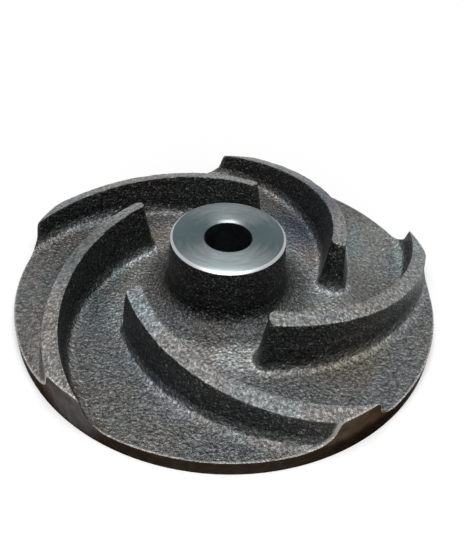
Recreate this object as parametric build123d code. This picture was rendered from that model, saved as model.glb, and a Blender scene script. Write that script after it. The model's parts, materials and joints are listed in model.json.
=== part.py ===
"""Semi-open pump impeller: one grey-iron casting, turned, faced and bored.

Lengths are in millimetres and angles in degrees. Z is the bore axis, and the origin is on it, in the
plane of the flat back face. The vanes stand on the disc and spiral outward, counter-clockwise from above.
"""

import os
from math import acos, atan2, cos, degrees, pi, radians, sin, sqrt, tan

from build123d import *

# Disc
outer_diameter = 180.0
rim_thickness = 6.6
floor_slope = 1.0  # rise of the disc's upper face towards the hub

# Hub and bore
hub_diameter = 48.0  # the hub's side, where it meets the plane of the machined top
hub_height = 35.0  # from the back face
hub_draft = 3.5
hub_flare_radius = 8.0  # hollow fillet from the hub's side to the floor
hub_chamfer = 0.9
bore_diameter = 20.0
bore_chamfer = 1.0

# Vanes
vane_count = 5
vane_thickness = 6.2  # across the top face
vane_draft = 5.5
vane_inlet_radius = 46.2  # bore axis to the top of the nose, on the centre line
vane_inlet_angle = 18.0  # centre line to the circle through the nose
vane_outlet_angle = 21.0  # centre line to the rim
vane_outlet_height = 18.2  # back face to the vane's top, at the rim
vane_top_slope = 16.5  # rise of the vane tops towards the hub
nose_roundness = 0.97  # corner radius of the nose, as a share of half its width
nose_rake = 9.0  # lean of the nose, forward at its root
vane_root_radius = 5.0  # hollow where a vane meets the floor
root_steps = 2  # drafted steps that make up the hollow
first_vane_azimuth = 15.5  # where the first centre line leaves the rim

outer_radius = outer_diameter / 2
draft_slope = tan(radians(vane_draft))
rake_slope = tan(radians(nose_rake))
root_half_width = vane_thickness / 2 + (vane_outlet_height - rim_thickness) * draft_slope  # at the rim
overrun = 2 * (root_half_width + vane_root_radius)  # how far a raw vane runs on past the rim
margin = vane_thickness / 10  # by which bodies that are fused or cut run past each other
nose_side_clearance = vane_thickness / 50  # between a vane's sides and the body that cuts its nose
blank_radius = outer_radius + overrun  # the raw disc, with room for the ends of the raw vanes


def floor_height(radius):
    """Height of the disc's upper face, a shallow cone."""
    return rim_thickness + (outer_radius - radius) * tan(radians(floor_slope))


def vane_top_height(radius):
    """Height of the cone that all the vane tops lie on."""
    return vane_outlet_height + (outer_radius - radius) * tan(radians(vane_top_slope))


def revolved(*corners):
    """Solid turned about the bore axis from a closed profile of (radius, height) corners."""
    return revolve(Plane.XZ * make_face(Polyline(*corners, close=True)), Axis.Z)


def raw_disc():
    """Raw disc, flare and drafted hub as one revolved profile."""
    hub_slope = tan(radians(hub_draft))
    rise = tan(radians(floor_slope))
    # The drafted side and the floor's cone would meet here, under the flare.
    foot_radius = (hub_diameter / 2 + (hub_height - floor_height(0)) * hub_slope) / (1 - rise * hub_slope)
    foot = (foot_radius, floor_height(foot_radius))
    profile = Polyline(
        (0, 0),
        (blank_radius, 0),
        (blank_radius, floor_height(blank_radius)),
        foot,
        (hub_diameter / 2, hub_height),
        (0, hub_height),
        close=True,
    )
    section = make_face(profile)
    top_corner = section.vertices().sort_by_distance((hub_diameter / 2, hub_height))[0]
    section = chamfer(top_corner, hub_chamfer)
    foot_corner = section.vertices().sort_by_distance(foot)[0]
    return revolve(Plane.XZ * fillet(foot_corner, hub_flare_radius), Axis.Z)


def vane_centre_arc():
    """Radius of the one arc that has both vane angles, and its centre's distance from the bore axis."""
    outlet_cosine = cos(radians(vane_outlet_angle))
    inlet_cosine = cos(radians(vane_inlet_angle))
    arc_radius = (outer_radius**2 - vane_inlet_radius**2) / (
        2 * (outer_radius * outlet_cosine - vane_inlet_radius * inlet_cosine)
    )
    centre_distance = sqrt(outer_radius**2 + arc_radius**2 - 2 * outer_radius * arc_radius * outlet_cosine)
    return arc_radius, centre_distance


def vane_plan(growth, advance):
    """Plan outline of a vane at the level of the rim's upper edge, with its sides moved out by growth.

    The centre arc turns about (centre_distance, 0), and turns are measured there from the bore axis. The
    vane is wider here than across its top by its draft, so it is widest where its top is highest. Its nose
    lies forward of the top's by the rake, and by the advance.
    """
    arc_radius, centre_distance = vane_centre_arc()
    squares = arc_radius**2 + centre_distance**2
    product = 2 * arc_radius * centre_distance

    def turn_at(radius):
        return acos((squares - radius**2) / product)

    def half_width(turn):
        radius = sqrt(squares - product * cos(turn))
        return vane_thickness / 2 + (vane_top_height(radius) - rim_thickness) * draft_slope + growth

    def side_point(turn, side):
        reach = arc_radius + side * half_width(turn)
        return centre_distance - reach * cos(turn), -reach * sin(turn)

    lean = (vane_top_height(vane_inlet_radius) - rim_thickness) * rake_slope
    nose = turn_at(vane_inlet_radius) - (lean + advance) / arc_radius
    end = turn_at(outer_radius) + overrun / arc_radius
    turns = (nose, (nose + end) / 2, end)
    outer_side = [side_point(turn, 1) for turn in turns]
    inner_side = [side_point(turn, -1) for turn in turns]
    outline = make_face(
        [
            ThreePointArc(*outer_side),
            Line(outer_side[-1], inner_side[-1]),
            ThreePointArc(*reversed(inner_side)),
            Line(inner_side[0], outer_side[0]),
        ]
    )
    nose_corners = outline.vertices().sort_by_distance(side_point(nose, 0))[:2]
    return fillet(nose_corners, nose_roundness * half_width(nose))


def drafted_vane(growth, advance, angle, height):
    """Upright body on a vane's plan, from inside the disc to a flat top, with every side drafted alike."""
    embedded = rim_thickness / 2
    plan = Pos(0, 0, rim_thickness - embedded) * vane_plan(growth, advance)
    body = extrude(plan, amount=embedded + height)
    return draft(body.faces().filter_by(Axis.Z, reverse=True), Plane.XY.offset(rim_thickness), angle)


def hollow_steps():
    """Chords of the hollow between a vane's side and the floor, as growth at the floor and draft."""
    lean = radians(vane_draft)
    sweep = pi / 2 - lean
    reach = vane_root_radius * tan(sweep / 2)
    turns = [lean + sweep * step / root_steps for step in range(root_steps + 1)]
    points = [(reach - vane_root_radius * cos(turn), vane_root_radius * (1 - sin(turn))) for turn in turns]
    for (upper_reach, upper_height), (lower_reach, lower_height) in zip(points, points[1:]):
        angle = atan2(lower_reach - upper_reach, upper_height - lower_height)
        yield lower_reach + lower_height * tan(angle), angle


def raw_vane():
    """One drafted vane with its hollow root, run on past the rim, with its top on the vane cone."""
    cone_radius = blank_radius + vane_thickness
    below_top = revolved(
        (0, 0), (cone_radius, 0), (cone_radius, vane_top_height(cone_radius)), (0, vane_top_height(0))
    )
    height = vane_top_height(vane_inlet_radius - vane_thickness) + margin - rim_thickness
    body = drafted_vane(0, vane_thickness, vane_draft, height)
    # A wider body, drafted by the rake, cuts the nose to its lean and clears the sides up to the top.
    clearance = height * (rake_slope - draft_slope) + nose_side_clearance
    vane = body & drafted_vane(clearance, 0, nose_rake, height) & below_top
    # Each step of the hollow goes on up until it is inside the vane, the leaning nose too.
    for growth, angle in hollow_steps():
        buried_height = (growth + margin) / (tan(angle) - rake_slope)
        vane += drafted_vane(growth, growth, degrees(angle), buried_height)
    return vane


def impeller():
    """The raw casting, then turned, bored and chamfered."""
    vane = raw_vane()
    casting = raw_disc()
    for index in range(vane_count):
        casting += Rot(0, 0, index * 360 / vane_count) * vane

    turned_rim = revolved((0, 0), (outer_radius, 0), (outer_radius, hub_height), (0, hub_height))
    bore_radius = bore_diameter / 2
    top_bevel = bore_radius + bore_chamfer
    bore = revolved(
        (0, 0),
        (top_bevel, 0),
        (bore_radius, bore_chamfer),
        (bore_radius, hub_height - bore_chamfer),
        (top_bevel, hub_height),
        (0, hub_height),
    )
    arc_radius, centre_distance = vane_centre_arc()
    outlet_cosine = (outer_radius**2 + centre_distance**2 - arc_radius**2) / (
        2 * outer_radius * centre_distance
    )
    # The raw vane's arc turns about a point on the X axis, so this brings its outlet to the azimuth.
    turn = first_vane_azimuth + degrees(acos(outlet_cosine))
    return Rot(0, 0, turn) * ((casting & turned_rim) - bore)


if __name__ == "__main__":
    os.makedirs("parts", exist_ok=True)
    export_step(impeller(), "parts/impeller.step")
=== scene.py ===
"""Looks of the pump impeller: sand-cast grey iron with turned faces, on a white floor in soft light."""

import json
from math import cos, hypot, radians, sin

import bmesh
import bpy
from mathutils import Matrix, Vector, noise


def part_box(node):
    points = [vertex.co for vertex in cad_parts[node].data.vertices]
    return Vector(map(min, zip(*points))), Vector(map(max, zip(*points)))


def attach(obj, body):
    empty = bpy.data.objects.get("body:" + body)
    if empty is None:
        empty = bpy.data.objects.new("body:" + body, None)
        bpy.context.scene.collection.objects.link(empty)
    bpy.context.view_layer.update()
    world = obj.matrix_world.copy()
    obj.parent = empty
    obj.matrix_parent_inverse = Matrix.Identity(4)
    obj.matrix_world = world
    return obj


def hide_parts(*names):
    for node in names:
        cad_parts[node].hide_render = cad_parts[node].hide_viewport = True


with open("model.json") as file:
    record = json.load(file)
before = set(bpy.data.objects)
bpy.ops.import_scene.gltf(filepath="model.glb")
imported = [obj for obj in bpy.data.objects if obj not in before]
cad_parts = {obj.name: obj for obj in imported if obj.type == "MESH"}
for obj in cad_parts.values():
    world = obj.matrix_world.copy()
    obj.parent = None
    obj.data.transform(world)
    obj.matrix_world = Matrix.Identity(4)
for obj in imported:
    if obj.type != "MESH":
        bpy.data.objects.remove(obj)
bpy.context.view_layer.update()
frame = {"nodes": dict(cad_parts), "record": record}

MM = 0.001

# Camera: a perspective view solved for this object's frame, in a picture of 464 by 537 pixels
PICTURE_WIDTH = 464
PICTURE_HEIGHT = 537
FOCAL_PIXELS = 685.4
CAMERA_DISTANCE = 306.2 * MM  # from the frame's origin
CAMERA_ELEVATION = 43.08  # degrees
CAMERA_ROLL = -2.754  # degrees
ORIGIN_PIXEL = (225.4, 297.2)  # where the frame's origin lies in the picture
SENSOR_HEIGHT = 36.0
CLIP_START = 10 * MM

# Studio: one soft lamp over the object, a white floor and a plain world
LAMP_PLACE = (0.0, -0.28, 0.86)
LAMP_SIZE = 0.7
LAMP_POWER = 8.2
WORLD_LIGHT = (0.3, 0.3, 0.3)
WHITE = (1.0, 1.0, 1.0)
FLOOR_WHITE = 0.9
FLOOR_RADIUS = 6.0
FLOOR_SEGMENTS = 96
GLOW_SPREAD = 0.2  # squared distance from the object at which the floor shows half of its own white

# Casting
_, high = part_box("impeller")
OUTER_RADIUS = high.x
HUB_TOP = high.z
BORE_RADIUS = frame["record"]["mounts"][0]["dims"]["r_mm"] * MM
BORE_BEVEL = 1.0 * MM
HUB_RADIUS = 24.0 * MM
HUB_BEVEL = 0.9 * MM

# Which faces of the casting are which
SKIN, RIM, HUB_FACE, BACK, BORE = range(5)  # material indices
BORE_TOLERANCE = 0.03 * MM
BORDER_TOLERANCE = 4 * BORE_TOLERANCE  # of the rim and of the hub's outline
RIM_INSET = BORE_TOLERANCE / 2  # keeps the rim's cast outline within the turned cylinder
UPRIGHT = 0.3  # a face stands upright where its normal rises or falls by less
DOWNWARD = -0.5  # and looks down where its normal falls by more
SHARP_ANGLE = radians(50)

# Mesh and cast grain
MERGE_DISTANCE = 0.001 * MM
CAST_EDGE = 0.95 * MM  # longest mesh edge on the cast skin, before it is thinned out
TRIANGLES = 192000  # of the finished casting
TURNED_WEIGHT = 1000.0  # how strongly the turned faces are kept from the thinning
EDGE_PASSES = 1  # of smoothing, for all cast edges
HOLLOW_PASSES = 5  # more of them, for the hollows at the feet of the vanes
HOLLOW_TOP = 14.0 * MM  # the hollows lie below this height
SMOOTHING = 0.5  # share of the way to the middle of its neighbours that a vertex goes in one pass
LUMP_SIZE = 9.0 * MM
LUMP_HEIGHT = 0.12 * MM
GRAIN_SIZE = 2.3 * MM
GRAIN_HEIGHT = 0.16 * MM
GRAIN_OFFSET = Vector((0.3, 0.1, 0.7))  # keeps the grain out of step with the lumps

# Heights and radii between which the finishes, and the painted light and shade, change
VANE_TOPS = (16.0 * MM, 18.5 * MM)
NEAR_FLOOR = (13.0 * MM, 20.0 * MM)
RIM_TO_VANE_END = (5.5 * MM, 10.0 * MM)
# radii of the painted highlight along the turned corner
TURNED_CORNER = (OUTER_RADIUS - 1.0 * MM, OUTER_RADIUS - 0.3 * MM)
# radii of the painted highlight on the hub's bevel
HUB_CORNER = (HUB_RADIUS - HUB_BEVEL - 0.2 * MM, HUB_RADIUS - HUB_BEVEL)
# the painted shadow at the hub's foot and the painted highlight on its flare reach out to this radius
PAINTED_LIGHT_REACH = 60.0 * MM  # around the bore's axis, where the finish of the hub's flare ends

# Widths of the marks that the lathe left
HUB_ARC_WIDTH = 1.6 * MM
HUB_ARCS_PER_RADIAN = 2.0
BACK_RING_WIDTH = 1.2 * MM

# Colours
RUST = (0.080, 0.045, 0.022)
EARTH = (0.170, 0.140, 0.110)
# painted glints on the grains
PAINTED_GLINT = (0.26, 0.27, 0.28)
# lighter convex edges: wear, and a painted highlight on them
WORN_EDGE_AND_PAINTED_HIGHLIGHT = (0.30, 0.31, 0.32)
# painted highlight along the turned corner
PAINTED_RIM_HIGHLIGHT = (0.42, 0.39, 0.35)
# painted highlight on the hub's bevel
PAINTED_BEVEL_HIGHLIGHT = (0.40, 0.43, 0.44)
ASHEN = (0.13, 0.135, 0.15)
BROWN_REFLECTION = (0.30, 0.25, 0.20)
LIGHTER_TOPS = (1.6, 1.6, 1.6)  # multiplies the skin's colour

# Stains: place in mm, radius in mm and colour
STAINS = (
    ((-33.2, 32.0, 9.0), 8.0, EARTH),
    ((-52.3, -61.7, 10.0), 4.5, RUST),
    ((-43.0, -78.1, 7.0), 4.5, RUST),
)

# Soft casts of colour, two of them painted highlights: place in mm, radius in mm and the colour that
# multiplies the skin's
TINTS_AND_PAINTED_HIGHLIGHTS = (
    ((46.0, -30.0, 4.0), 28.0, (1.12, 1.0, 0.82)),
    ((70.0, 32.0, 8.0), 30.0, (1.40, 1.56, 1.60)),
    ((36.0, 42.0, 20.0), 26.0, (0.38, 0.47, 0.66)),
    ((-60.0, 0.0, 15.0), 28.0, (0.56, 0.62, 0.62)),
    # painted highlight along the foot of a vane's outer side
    ((-18.0, -63.0, 8.0), 17.0, (1.18, 1.26, 1.44)),
    # painted highlight on the floor in front of the hub
    ((6.0, -40.0, 8.0), 13.0, (1.50, 1.47, 1.45)),
    ((-36.0, -36.0, 12.0), 34.0, (1.05, 1.16, 1.24)),
)

ASHEN_END = (-54.0, -71.0, 14.0)  # the vane end that is greyer than the others, in mm

# A Mix node's sockets for colours
MIX_FACTOR, MIX_FIRST, MIX_SECOND, MIX_RESULT = 0, 6, 7, 2


# ---------------------------------------------------------------- casting


def face_kind(face):
    """Which finish a face has: the rim, the hub's top, the flat back and the bore are turned."""
    centre = face.calc_center_median()
    corners = [hypot(vertex.co.x, vertex.co.y) for vertex in face.verts]
    upright = abs(face.normal.z) < UPRIGHT
    if max(corners) < BORE_RADIUS + BORE_TOLERANCE and upright:
        return BORE
    if min(corners) > OUTER_RADIUS - BORDER_TOLERANCE and upright:
        return RIM
    if centre.z > HUB_TOP - HUB_BEVEL and max(corners) < HUB_RADIUS + BORDER_TOLERANCE:
        return HUB_FACE
    if centre.z < BORE_BEVEL and face.normal.z < DOWNWARD:
        return BACK
    return SKIN


def face_kinds(element):
    """The finishes of the faces around an edge or a vertex."""
    return {face.material_index for face in element.link_faces}


def refine(mesh):
    """Halves the skin's long edges, longest first and one to a triangle at a time, until none is left."""
    while True:
        long_edges = [
            edge for edge in mesh.edges if SKIN in face_kinds(edge) and edge.calc_length() > CAST_EDGE
        ]
        long_edges.sort(key=lambda edge: edge.calc_length(), reverse=True)
        chosen = []
        taken = set()
        for edge in long_edges:
            if taken.isdisjoint(edge.link_faces):
                chosen.append(edge)
                taken.update(edge.link_faces)
        if not chosen:
            return
        bmesh.ops.subdivide_edges(mesh, edges=chosen, cuts=1, use_single_edge=True)


def soften(mesh):
    """Rounds the cast skin's edges and hollows, and its border along the turned rim."""
    inner = []
    neighbours = {}  # of the vertices on the border, along the border
    for vertex in mesh.verts:
        kinds = face_kinds(vertex)
        if kinds == {SKIN}:
            inner.append(vertex)
        elif SKIN in kinds and hypot(vertex.co.x, vertex.co.y) > OUTER_RADIUS - BORDER_TOLERANCE:
            along = [edge.other_vert(vertex) for edge in vertex.link_edges if len(face_kinds(edge)) > 1]
            if len(along) == 2:
                neighbours[vertex] = along
    hollows = [vertex for vertex in inner if vertex.co.z < HOLLOW_TOP]
    for vertices in [inner] * EDGE_PASSES + [hollows] * HOLLOW_PASSES:
        bmesh.ops.smooth_vert(
            mesh, verts=vertices, factor=SMOOTHING, use_axis_x=True, use_axis_y=True, use_axis_z=True
        )
        targets = [
            (vertex, (vertex.co * 2 + before.co + after.co) / 4)
            for vertex, (before, after) in neighbours.items()
        ]
        for vertex, target in targets:
            scale = (OUTER_RADIUS - RIM_INSET) / hypot(target.x, target.y)
            vertex.co = Vector((target.x * scale, target.y * scale, target.z))


def roughen(mesh):
    """Moves the skin in and out by its lumps and its sand grain."""
    mesh.normal_update()
    for vertex in mesh.verts:
        if face_kinds(vertex) == {SKIN}:
            lump = noise.noise(vertex.co / LUMP_SIZE) * LUMP_HEIGHT
            grain = noise.noise((vertex.co + GRAIN_OFFSET) / GRAIN_SIZE) * GRAIN_HEIGHT
            vertex.co += vertex.normal * (lump + grain)


def thin_out(piece):
    """Collapses the flattest triangles of the cast skin, and leaves the turned faces as they are."""
    group = piece.vertex_groups.new(name="cast_skin")
    turned = set()
    for polygon in piece.data.polygons:
        if polygon.material_index != SKIN:
            turned.update(polygon.vertices)
    cast = [vertex.index for vertex in piece.data.vertices if vertex.index not in turned]
    group.add(cast, 1.0, "REPLACE")
    thinning = piece.modifiers.new("thinning", "DECIMATE")
    thinning.ratio = min(1.0, TRIANGLES / len(piece.data.polygons))
    thinning.vertex_group = group.name
    thinning.vertex_group_factor = TURNED_WEIGHT
    dense = piece.data
    evaluated = piece.evaluated_get(bpy.context.evaluated_depsgraph_get())
    piece.data = bpy.data.meshes.new_from_object(evaluated)
    piece.modifiers.clear()
    piece.vertex_groups.clear()
    bpy.data.meshes.remove(dense)


def shade_smooth(data):
    """Smooth shading, apart from the borders of the turned faces and the sharp edges."""
    mesh = bmesh.new()
    mesh.from_mesh(data)
    for face in mesh.faces:
        face.smooth = True
    for edge in mesh.edges:
        if len(face_kinds(edge)) > 1 or edge.calc_face_angle(0) > SHARP_ANGLE:
            edge.smooth = False
    mesh.to_mesh(data)
    mesh.free()


def build_casting():
    """The casting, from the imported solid's own mesh."""
    mesh = bmesh.new()
    mesh.from_mesh(frame["nodes"]["impeller"].data)
    bmesh.ops.remove_doubles(mesh, verts=mesh.verts, dist=MERGE_DISTANCE)
    bmesh.ops.triangulate(mesh, faces=mesh.faces)
    mesh.normal_update()
    for face in mesh.faces:
        face.material_index = face_kind(face)
    refine(mesh)
    soften(mesh)
    roughen(mesh)
    data = bpy.data.meshes.new("impeller_casting")
    mesh.to_mesh(data)
    mesh.free()
    piece = bpy.data.objects.new("impeller_casting", data)
    bpy.context.scene.collection.objects.link(piece)
    thin_out(piece)
    shade_smooth(piece.data)
    return piece


# ---------------------------------------------------------------- materials


class Finish:
    """A procedural material: small helpers around its nodes. Colours are red, green and blue."""

    def __init__(self, name):
        self.material = bpy.data.materials.new(name)
        self.material.use_nodes = True
        self.nodes = self.material.node_tree.nodes
        self.links = self.material.node_tree.links
        self.shader = self.nodes["Principled BSDF"]
        coordinates = self.nodes.new("ShaderNodeTexCoord")
        self.position = coordinates.outputs["Object"]
        self.normal = coordinates.outputs["Normal"]

    def put(self, socket, value):
        """Links another node's output to a socket, or writes a constant there."""
        if isinstance(value, bpy.types.NodeSocket):
            self.links.new(value, socket)
        elif socket.type == "RGBA":
            socket.default_value = (*value, 1)
        else:
            socket.default_value = value

    def set(self, **values):
        """Sets the shader's inputs, with underscores for the spaces in their names."""
        for name, value in values.items():
            self.put(self.shader.inputs[name.replace("_", " ")], value)

    def split(self, vector):
        node = self.nodes.new("ShaderNodeSeparateXYZ")
        self.links.new(vector, node.inputs[0])
        return node.outputs

    def join(self, x, y, z):
        node = self.nodes.new("ShaderNodeCombineXYZ")
        for socket, value in zip(node.inputs, (x, y, z)):
            self.put(socket, value)
        return node.outputs[0]

    def math(self, operation, *values):
        node = self.nodes.new("ShaderNodeMath")
        node.operation = operation
        for socket, value in zip(node.inputs, values):
            self.put(socket, value)
        return node.outputs[0]

    def radius(self):
        """Distance from the bore's axis."""
        x, y, _ = self.split(self.position)
        return self.math("SQRT", self.math("ADD", self.math("MULTIPLY", x, x), self.math("MULTIPLY", y, y)))

    def distance(self, place):
        """Distance from a place that is given in mm."""
        node = self.nodes.new("ShaderNodeVectorMath")
        node.operation = "DISTANCE"
        self.links.new(self.position, node.inputs[0])
        node.inputs[1].default_value = [length * MM for length in place]
        return node.outputs["Value"]

    def noise(self, size, detail=2.0, roughness=0.5, position=None):
        node = self.nodes.new("ShaderNodeTexNoise")
        node.inputs["Scale"].default_value = 1 / size
        node.inputs["Detail"].default_value = detail
        node.inputs["Roughness"].default_value = roughness
        self.links.new(position or self.position, node.inputs["Vector"])
        return node.outputs["Fac"]

    def fade(self, value, start, end, before=0.0, after=1.0):
        """Smooth step, from one number where the value is at its start to another at its end."""
        node = self.nodes.new("ShaderNodeMapRange")
        node.interpolation_type = "SMOOTHSTEP"
        numbers = {"From Min": start, "From Max": end, "To Min": before, "To Max": after}
        for name, number in numbers.items():
            node.inputs[name].default_value = number
        self.links.new(value, node.inputs["Value"])
        return node.outputs["Result"]

    def ramp(self, factor, *stops):
        """Colours between stops, each of them a number and its colour."""
        node = self.nodes.new("ShaderNodeValToRGB")
        elements = node.color_ramp.elements
        while len(elements) < len(stops):
            elements.new(0.5)
        for element, (place, colour) in zip(elements, stops):
            element.position = place
            element.color = (*colour, 1)
        self.links.new(factor, node.inputs["Fac"])
        return node.outputs["Color"]

    def mix(self, factor, first, second, blend="MIX"):
        node = self.nodes.new("ShaderNodeMix")
        node.data_type = "RGBA"
        node.blend_type = blend
        self.put(node.inputs[MIX_FACTOR], factor)
        self.put(node.inputs[MIX_FIRST], first)
        self.put(node.inputs[MIX_SECOND], second)
        return node.outputs[MIX_RESULT]

    def multiply(self, colour, other, amount=1.0):
        """The colour multiplied by another, as far as the amount says."""
        product = self.mix(1.0, colour, other, "MULTIPLY")
        if amount == 1.0:
            return product
        return self.mix(amount, colour, product)

    def bump(self, height, distance):
        node = self.nodes.new("ShaderNodeBump")
        node.inputs["Strength"].default_value = 1.0
        node.inputs["Distance"].default_value = distance
        self.links.new(height, node.inputs["Height"])
        self.set(Normal=node.outputs["Normal"])


def grey(value):
    return (value, value, value)


def cast_colour_with_painted_light(finish):
    """Colour of the clean skin, with painted light and shade in it: painted shade makes the steep sides
    nearly black, painted highlights light the middle slopes and the hub's flare, a painted shadow lies at
    the hub's foot, and the vane tops are lighter.
    """
    height = finish.split(finish.position)[2]
    tint = finish.ramp(
        finish.noise(26 * MM),
        (0.40, (0.100, 0.095, 0.088)),
        (0.50, (0.098, 0.098, 0.095)),
        (0.60, (0.092, 0.099, 0.099)),
    )
    # painted shade and highlight by slope: nearly black on the steep sides, brightest on the middle slopes
    shade = finish.ramp(
        finish.split(finish.normal)[2],
        (0.10, grey(0.07)),
        (0.45, grey(0.40)),
        (0.74, grey(1.75)),
        (0.93, grey(1.50)),
        (1.0, grey(0.97)),
    )
    speckle = finish.ramp(
        finish.noise(1.2 * MM, detail=3, roughness=0.65),
        (0.36, grey(0.4)),
        (0.50, grey(0.95)),
        (0.68, grey(2.1)),
    )
    colour = finish.multiply(finish.multiply(tint, shade), speckle)
    on_top = finish.fade(height, *VANE_TOPS, before=0.0, after=0.45)
    colour = finish.multiply(colour, LIGHTER_TOPS, on_top)
    # painted shadow at the hub's foot and painted highlight on the flare around it, low down only
    painted_hub_shadow_and_flare_highlight = finish.ramp(
        finish.math("MULTIPLY", finish.radius(), 1 / PAINTED_LIGHT_REACH),
        (0.48, grey(0.35)),
        (0.57, grey(0.80)),
        (0.67, grey(2.20)),
        (0.80, grey(2.05)),
        (0.95, grey(1.0)),
    )
    near_floor = finish.fade(height, *NEAR_FLOOR, before=1.0, after=0.0)
    return finish.multiply(colour, painted_hub_shadow_and_flare_highlight, near_floor)


def with_tints_stains_and_painted_highlights(finish, colour):
    """The colour with the soft casts, painted highlights among them, and the ragged stains."""
    # soft casts of colour, and the painted highlights among them
    for place, radius, cast in TINTS_AND_PAINTED_HIGHLIGHTS:
        start = radius * 0.4 * MM
        inside = finish.fade(finish.distance(place), start, radius * MM, before=1.0, after=0.0)
        colour = finish.multiply(colour, cast, inside)
    for place, radius, stain in STAINS:
        ragged = finish.noise(6 * MM, detail=3)
        reach = finish.math("MULTIPLY_ADD", ragged, radius * MM, finish.distance(place))
        inside = finish.fade(reach, radius * 0.8 * MM, radius * 1.7 * MM, before=0.6, after=0.0)
        colour = finish.mix(inside, colour, stain)
    return colour


def with_wear_and_painted_highlights(finish, colour):
    """The colour with painted glints on the grains, a painted highlight along the turned corner that is
    strongest in front, and lighter convex edges, from wear and from a painted highlight.
    """
    # painted glints on the grains
    painted_glint = finish.fade(finish.noise(0.9 * MM, roughness=0.8), 0.55, 0.68, before=0.0, after=0.5)
    colour = finish.mix(painted_glint, colour, PAINTED_GLINT)
    # painted highlight along the turned corner, stronger in front
    corner = finish.fade(finish.radius(), *TURNED_CORNER)
    in_front = finish.fade(finish.split(finish.position)[1], -60 * MM, 10 * MM, before=0.7, after=0.15)
    colour = finish.mix(finish.math("MULTIPLY", corner, in_front), colour, PAINTED_RIM_HIGHLIGHT)
    # lighter convex edges: wear, and a painted highlight on them
    convex = finish.nodes.new("ShaderNodeNewGeometry").outputs["Pointiness"]
    return finish.mix(finish.fade(convex, 0.54, 0.60, before=0.0, after=0.7), colour, WORN_EDGE_AND_PAINTED_HIGHLIGHT)


def skin_finish():
    """Oily cast skin with rough sand grain."""
    finish = Finish("cast_skin")
    colour = with_wear_and_painted_highlights(finish, with_tints_stains_and_painted_highlights(finish, cast_colour_with_painted_light(finish)))
    roughness = finish.fade(finish.noise(1.4 * MM), 0.3, 0.7, before=0.30, after=0.52)
    finish.set(Base_Color=colour, Metallic=0.6, Specular_IOR_Level=0.4, Roughness=roughness)
    finish.bump(finish.noise(1.3 * MM, roughness=0.6), 1.25 * MM)
    return finish.material


def rim_finish():
    """Rim and vane ends, turned and gone brown."""
    finish = Finish("turned_rim")
    tone = finish.ramp(
        finish.fade(finish.split(finish.position)[2], *RIM_TO_VANE_END),
        (0.0, (0.035, 0.029, 0.0245)),
        (1.0, (0.085, 0.072, 0.058)),
    )
    ashen = finish.fade(finish.distance(ASHEN_END), 8 * MM, 22 * MM, before=0.8, after=0.0)
    tone = finish.mix(ashen, tone, ASHEN)
    mottle = finish.ramp(
        finish.noise(4 * MM, detail=4, roughness=0.6), (0.35, grey(0.80)), (0.65, grey(1.20))
    )
    finish.set(
        Base_Color=finish.multiply(tone, mottle),
        Metallic=1.0,
        Specular_Tint=BROWN_REFLECTION,
        Roughness=0.40,
    )
    finish.bump(finish.noise(0.7 * MM), 0.06 * MM)
    return finish.material


def hub_face_finish():
    """Faced top of the hub: blue-grey, with a painted reflection that lights two opposite sectors, painted
    shade towards the back, arcs, and a painted highlight on the bevel.
    """
    finish = Finish("faced_hub")
    x, y, _ = finish.split(finish.position)
    radius = finish.radius()
    across = finish.math("DIVIDE", x, radius)
    along = finish.math("DIVIDE", y, radius)
    across_squared = finish.math("MULTIPLY", across, across)
    along_squared = finish.math("MULTIPLY", along, along)
    # painted reflection: two opposite sectors lighter, as turned metal shows it
    sectors = finish.math("SUBTRACT", along_squared, across_squared)
    # painted shade towards the back
    painted_shade_behind = finish.math("MULTIPLY_ADD", along, -0.2, 0.345)
    light = finish.math("MULTIPLY_ADD", sectors, 0.455, painted_shade_behind)
    arcs = finish.noise(
        1.0,
        detail=4,
        roughness=0.7,
        position=finish.join(
            finish.math("MULTIPLY", radius, 1 / HUB_ARC_WIDTH),
            finish.math("MULTIPLY", finish.math("ARCTAN2", y, x), HUB_ARCS_PER_RADIAN),
            0.0,
        ),
    )
    light = finish.math("ADD", light, finish.fade(arcs, 0.3, 0.7, before=-0.16, after=0.16))
    tone = finish.ramp(
        light,
        (0.0, (0.072, 0.101, 0.108)),
        (0.6, (0.190, 0.214, 0.221)),
        (1.0, (0.280, 0.333, 0.346)),
    )
    # painted highlight on the bevel
    tone = finish.mix(finish.fade(radius, *HUB_CORNER), tone, PAINTED_BEVEL_HIGHLIGHT)
    finish.set(Base_Color=tone, Metallic=0.9, Roughness=0.36)
    return finish.material


def back_finish():
    """Flat back, faced plain, with fine rings."""
    finish = Finish("faced_back")
    outward = finish.math("MULTIPLY", finish.radius(), 1 / BACK_RING_WIDTH)
    rings = finish.noise(1.0, position=finish.join(outward, 0.0, 0.0))
    tone = finish.ramp(rings, (0.35, (0.16, 0.165, 0.165)), (0.65, (0.22, 0.225, 0.225)))
    finish.set(Base_Color=tone, Metallic=0.85, Roughness=0.42)
    return finish.material


def bore_finish():
    """Bored surface, dark."""
    finish = Finish("bored_iron")
    tone = finish.ramp(finish.noise(4 * MM), (0.4, (0.020, 0.025, 0.028)), (0.6, (0.036, 0.042, 0.046)))
    finish.set(Base_Color=tone, Metallic=0.9, Roughness=0.45)
    return finish.material


casting = build_casting()
for make_finish in (skin_finish, rim_finish, hub_face_finish, back_finish, bore_finish):
    casting.data.materials.append(make_finish())
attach(casting, "root")
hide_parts("impeller")


# ---------------------------------------------------------------- stage


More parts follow.
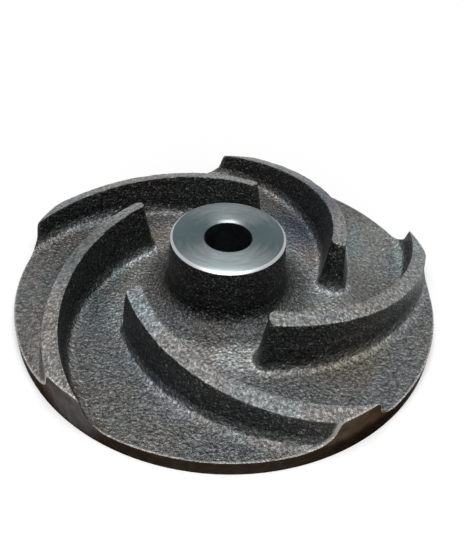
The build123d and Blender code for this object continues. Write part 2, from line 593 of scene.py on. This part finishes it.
def place_camera():
    """Camera that looks at the frame's origin from the front, turned so that it has the origin's pixel."""
    elevation = radians(CAMERA_ELEVATION)
    forward = Vector((0, cos(elevation), -sin(elevation)))
    level = Matrix(((1, 0, 0), (0, sin(elevation), cos(elevation)), forward))
    aim = Vector((
        (ORIGIN_PIXEL[0] - PICTURE_WIDTH / 2) / FOCAL_PIXELS,
        -(ORIGIN_PIXEL[1] - PICTURE_HEIGHT / 2) / FOCAL_PIXELS,
        1,
    )).normalized()
    turn = Vector((0, 0, 1)).rotation_difference(aim).to_matrix()
    axes = turn @ Matrix.Rotation(radians(CAMERA_ROLL), 3, "Z") @ level
    rotation = Matrix((axes[0], axes[1], -axes[2])).transposed().to_4x4()
    camera = bpy.data.objects.new("camera", bpy.data.cameras.new("camera"))
    camera.matrix_world = Matrix.Translation(-forward * CAMERA_DISTANCE) @ rotation
    camera.data.sensor_fit = "VERTICAL"
    camera.data.sensor_height = SENSOR_HEIGHT
    camera.data.lens = SENSOR_HEIGHT * FOCAL_PIXELS / PICTURE_HEIGHT
    camera.data.clip_start = CLIP_START
    bpy.context.scene.collection.objects.link(camera)
    bpy.context.scene.camera = camera


def place_lamp():
    """Round soft lamp that shines at the frame's origin."""
    light = bpy.data.lights.new("overhead", "AREA")
    light.shape = "DISK"
    light.size = LAMP_SIZE
    light.energy = LAMP_POWER
    lamp = bpy.data.objects.new("overhead", light)
    lamp.location = LAMP_PLACE
    lamp.rotation_euler = Vector(LAMP_PLACE).to_track_quat("Z", "Y").to_euler()
    bpy.context.scene.collection.objects.link(lamp)


def seen_directly(nodes, links):
    """1 for rays that see the white background, from the camera, by reflection or through glass; else 0."""
    path = nodes.new("ShaderNodeLightPath")
    value = path.outputs["Is Camera Ray"]
    for name in ("Is Glossy Ray", "Is Transmission Ray"):
        either = nodes.new("ShaderNodeMath")
        either.operation = "MAXIMUM"
        links.new(value, either.inputs[0])
        links.new(path.outputs[name], either.inputs[1])
        value = either.outputs[0]
    return value


def build_floor():
    """White floor. Far from the lamp it shows its own white; near the object it keeps the shadow."""
    mesh = bmesh.new()
    bmesh.ops.create_circle(mesh, cap_ends=True, segments=FLOOR_SEGMENTS, radius=FLOOR_RADIUS)
    data = bpy.data.meshes.new("floor")
    mesh.to_mesh(data)
    mesh.free()
    floor = bpy.data.objects.new("floor", data)
    bpy.context.scene.collection.objects.link(floor)
    finish = Finish("pale_floor")
    squared = finish.math("POWER", finish.radius(), 2.0)
    far = finish.math("DIVIDE", squared, finish.math("ADD", squared, GLOW_SPREAD))
    glow = finish.math("MULTIPLY", far, FLOOR_WHITE)
    finish.set(
        Base_Color=grey(FLOOR_WHITE),
        Roughness=0.9,
        Specular_IOR_Level=0.0,
        Emission_Color=WHITE,
        Emission_Strength=finish.math("MULTIPLY", seen_directly(finish.nodes, finish.links), glow),
    )
    data.materials.append(finish.material)


def build_world():
    """White where it is seen, and a plain grey light on the object."""
    world = bpy.data.worlds.new("studio")
    bpy.context.scene.world = world
    world.use_nodes = True
    nodes = world.node_tree.nodes
    links = world.node_tree.links
    mix = nodes.new("ShaderNodeMix")
    mix.data_type = "RGBA"
    mix.inputs[MIX_FIRST].default_value = (*WORLD_LIGHT, 1)
    mix.inputs[MIX_SECOND].default_value = (*WHITE, 1)
    links.new(seen_directly(nodes, links), mix.inputs[MIX_FACTOR])
    links.new(mix.outputs[MIX_RESULT], nodes["Background"].inputs["Color"])


place_camera()
build_floor()
build_world()
place_lamp()
bpy.context.scene.view_settings.view_transform = "Standard"
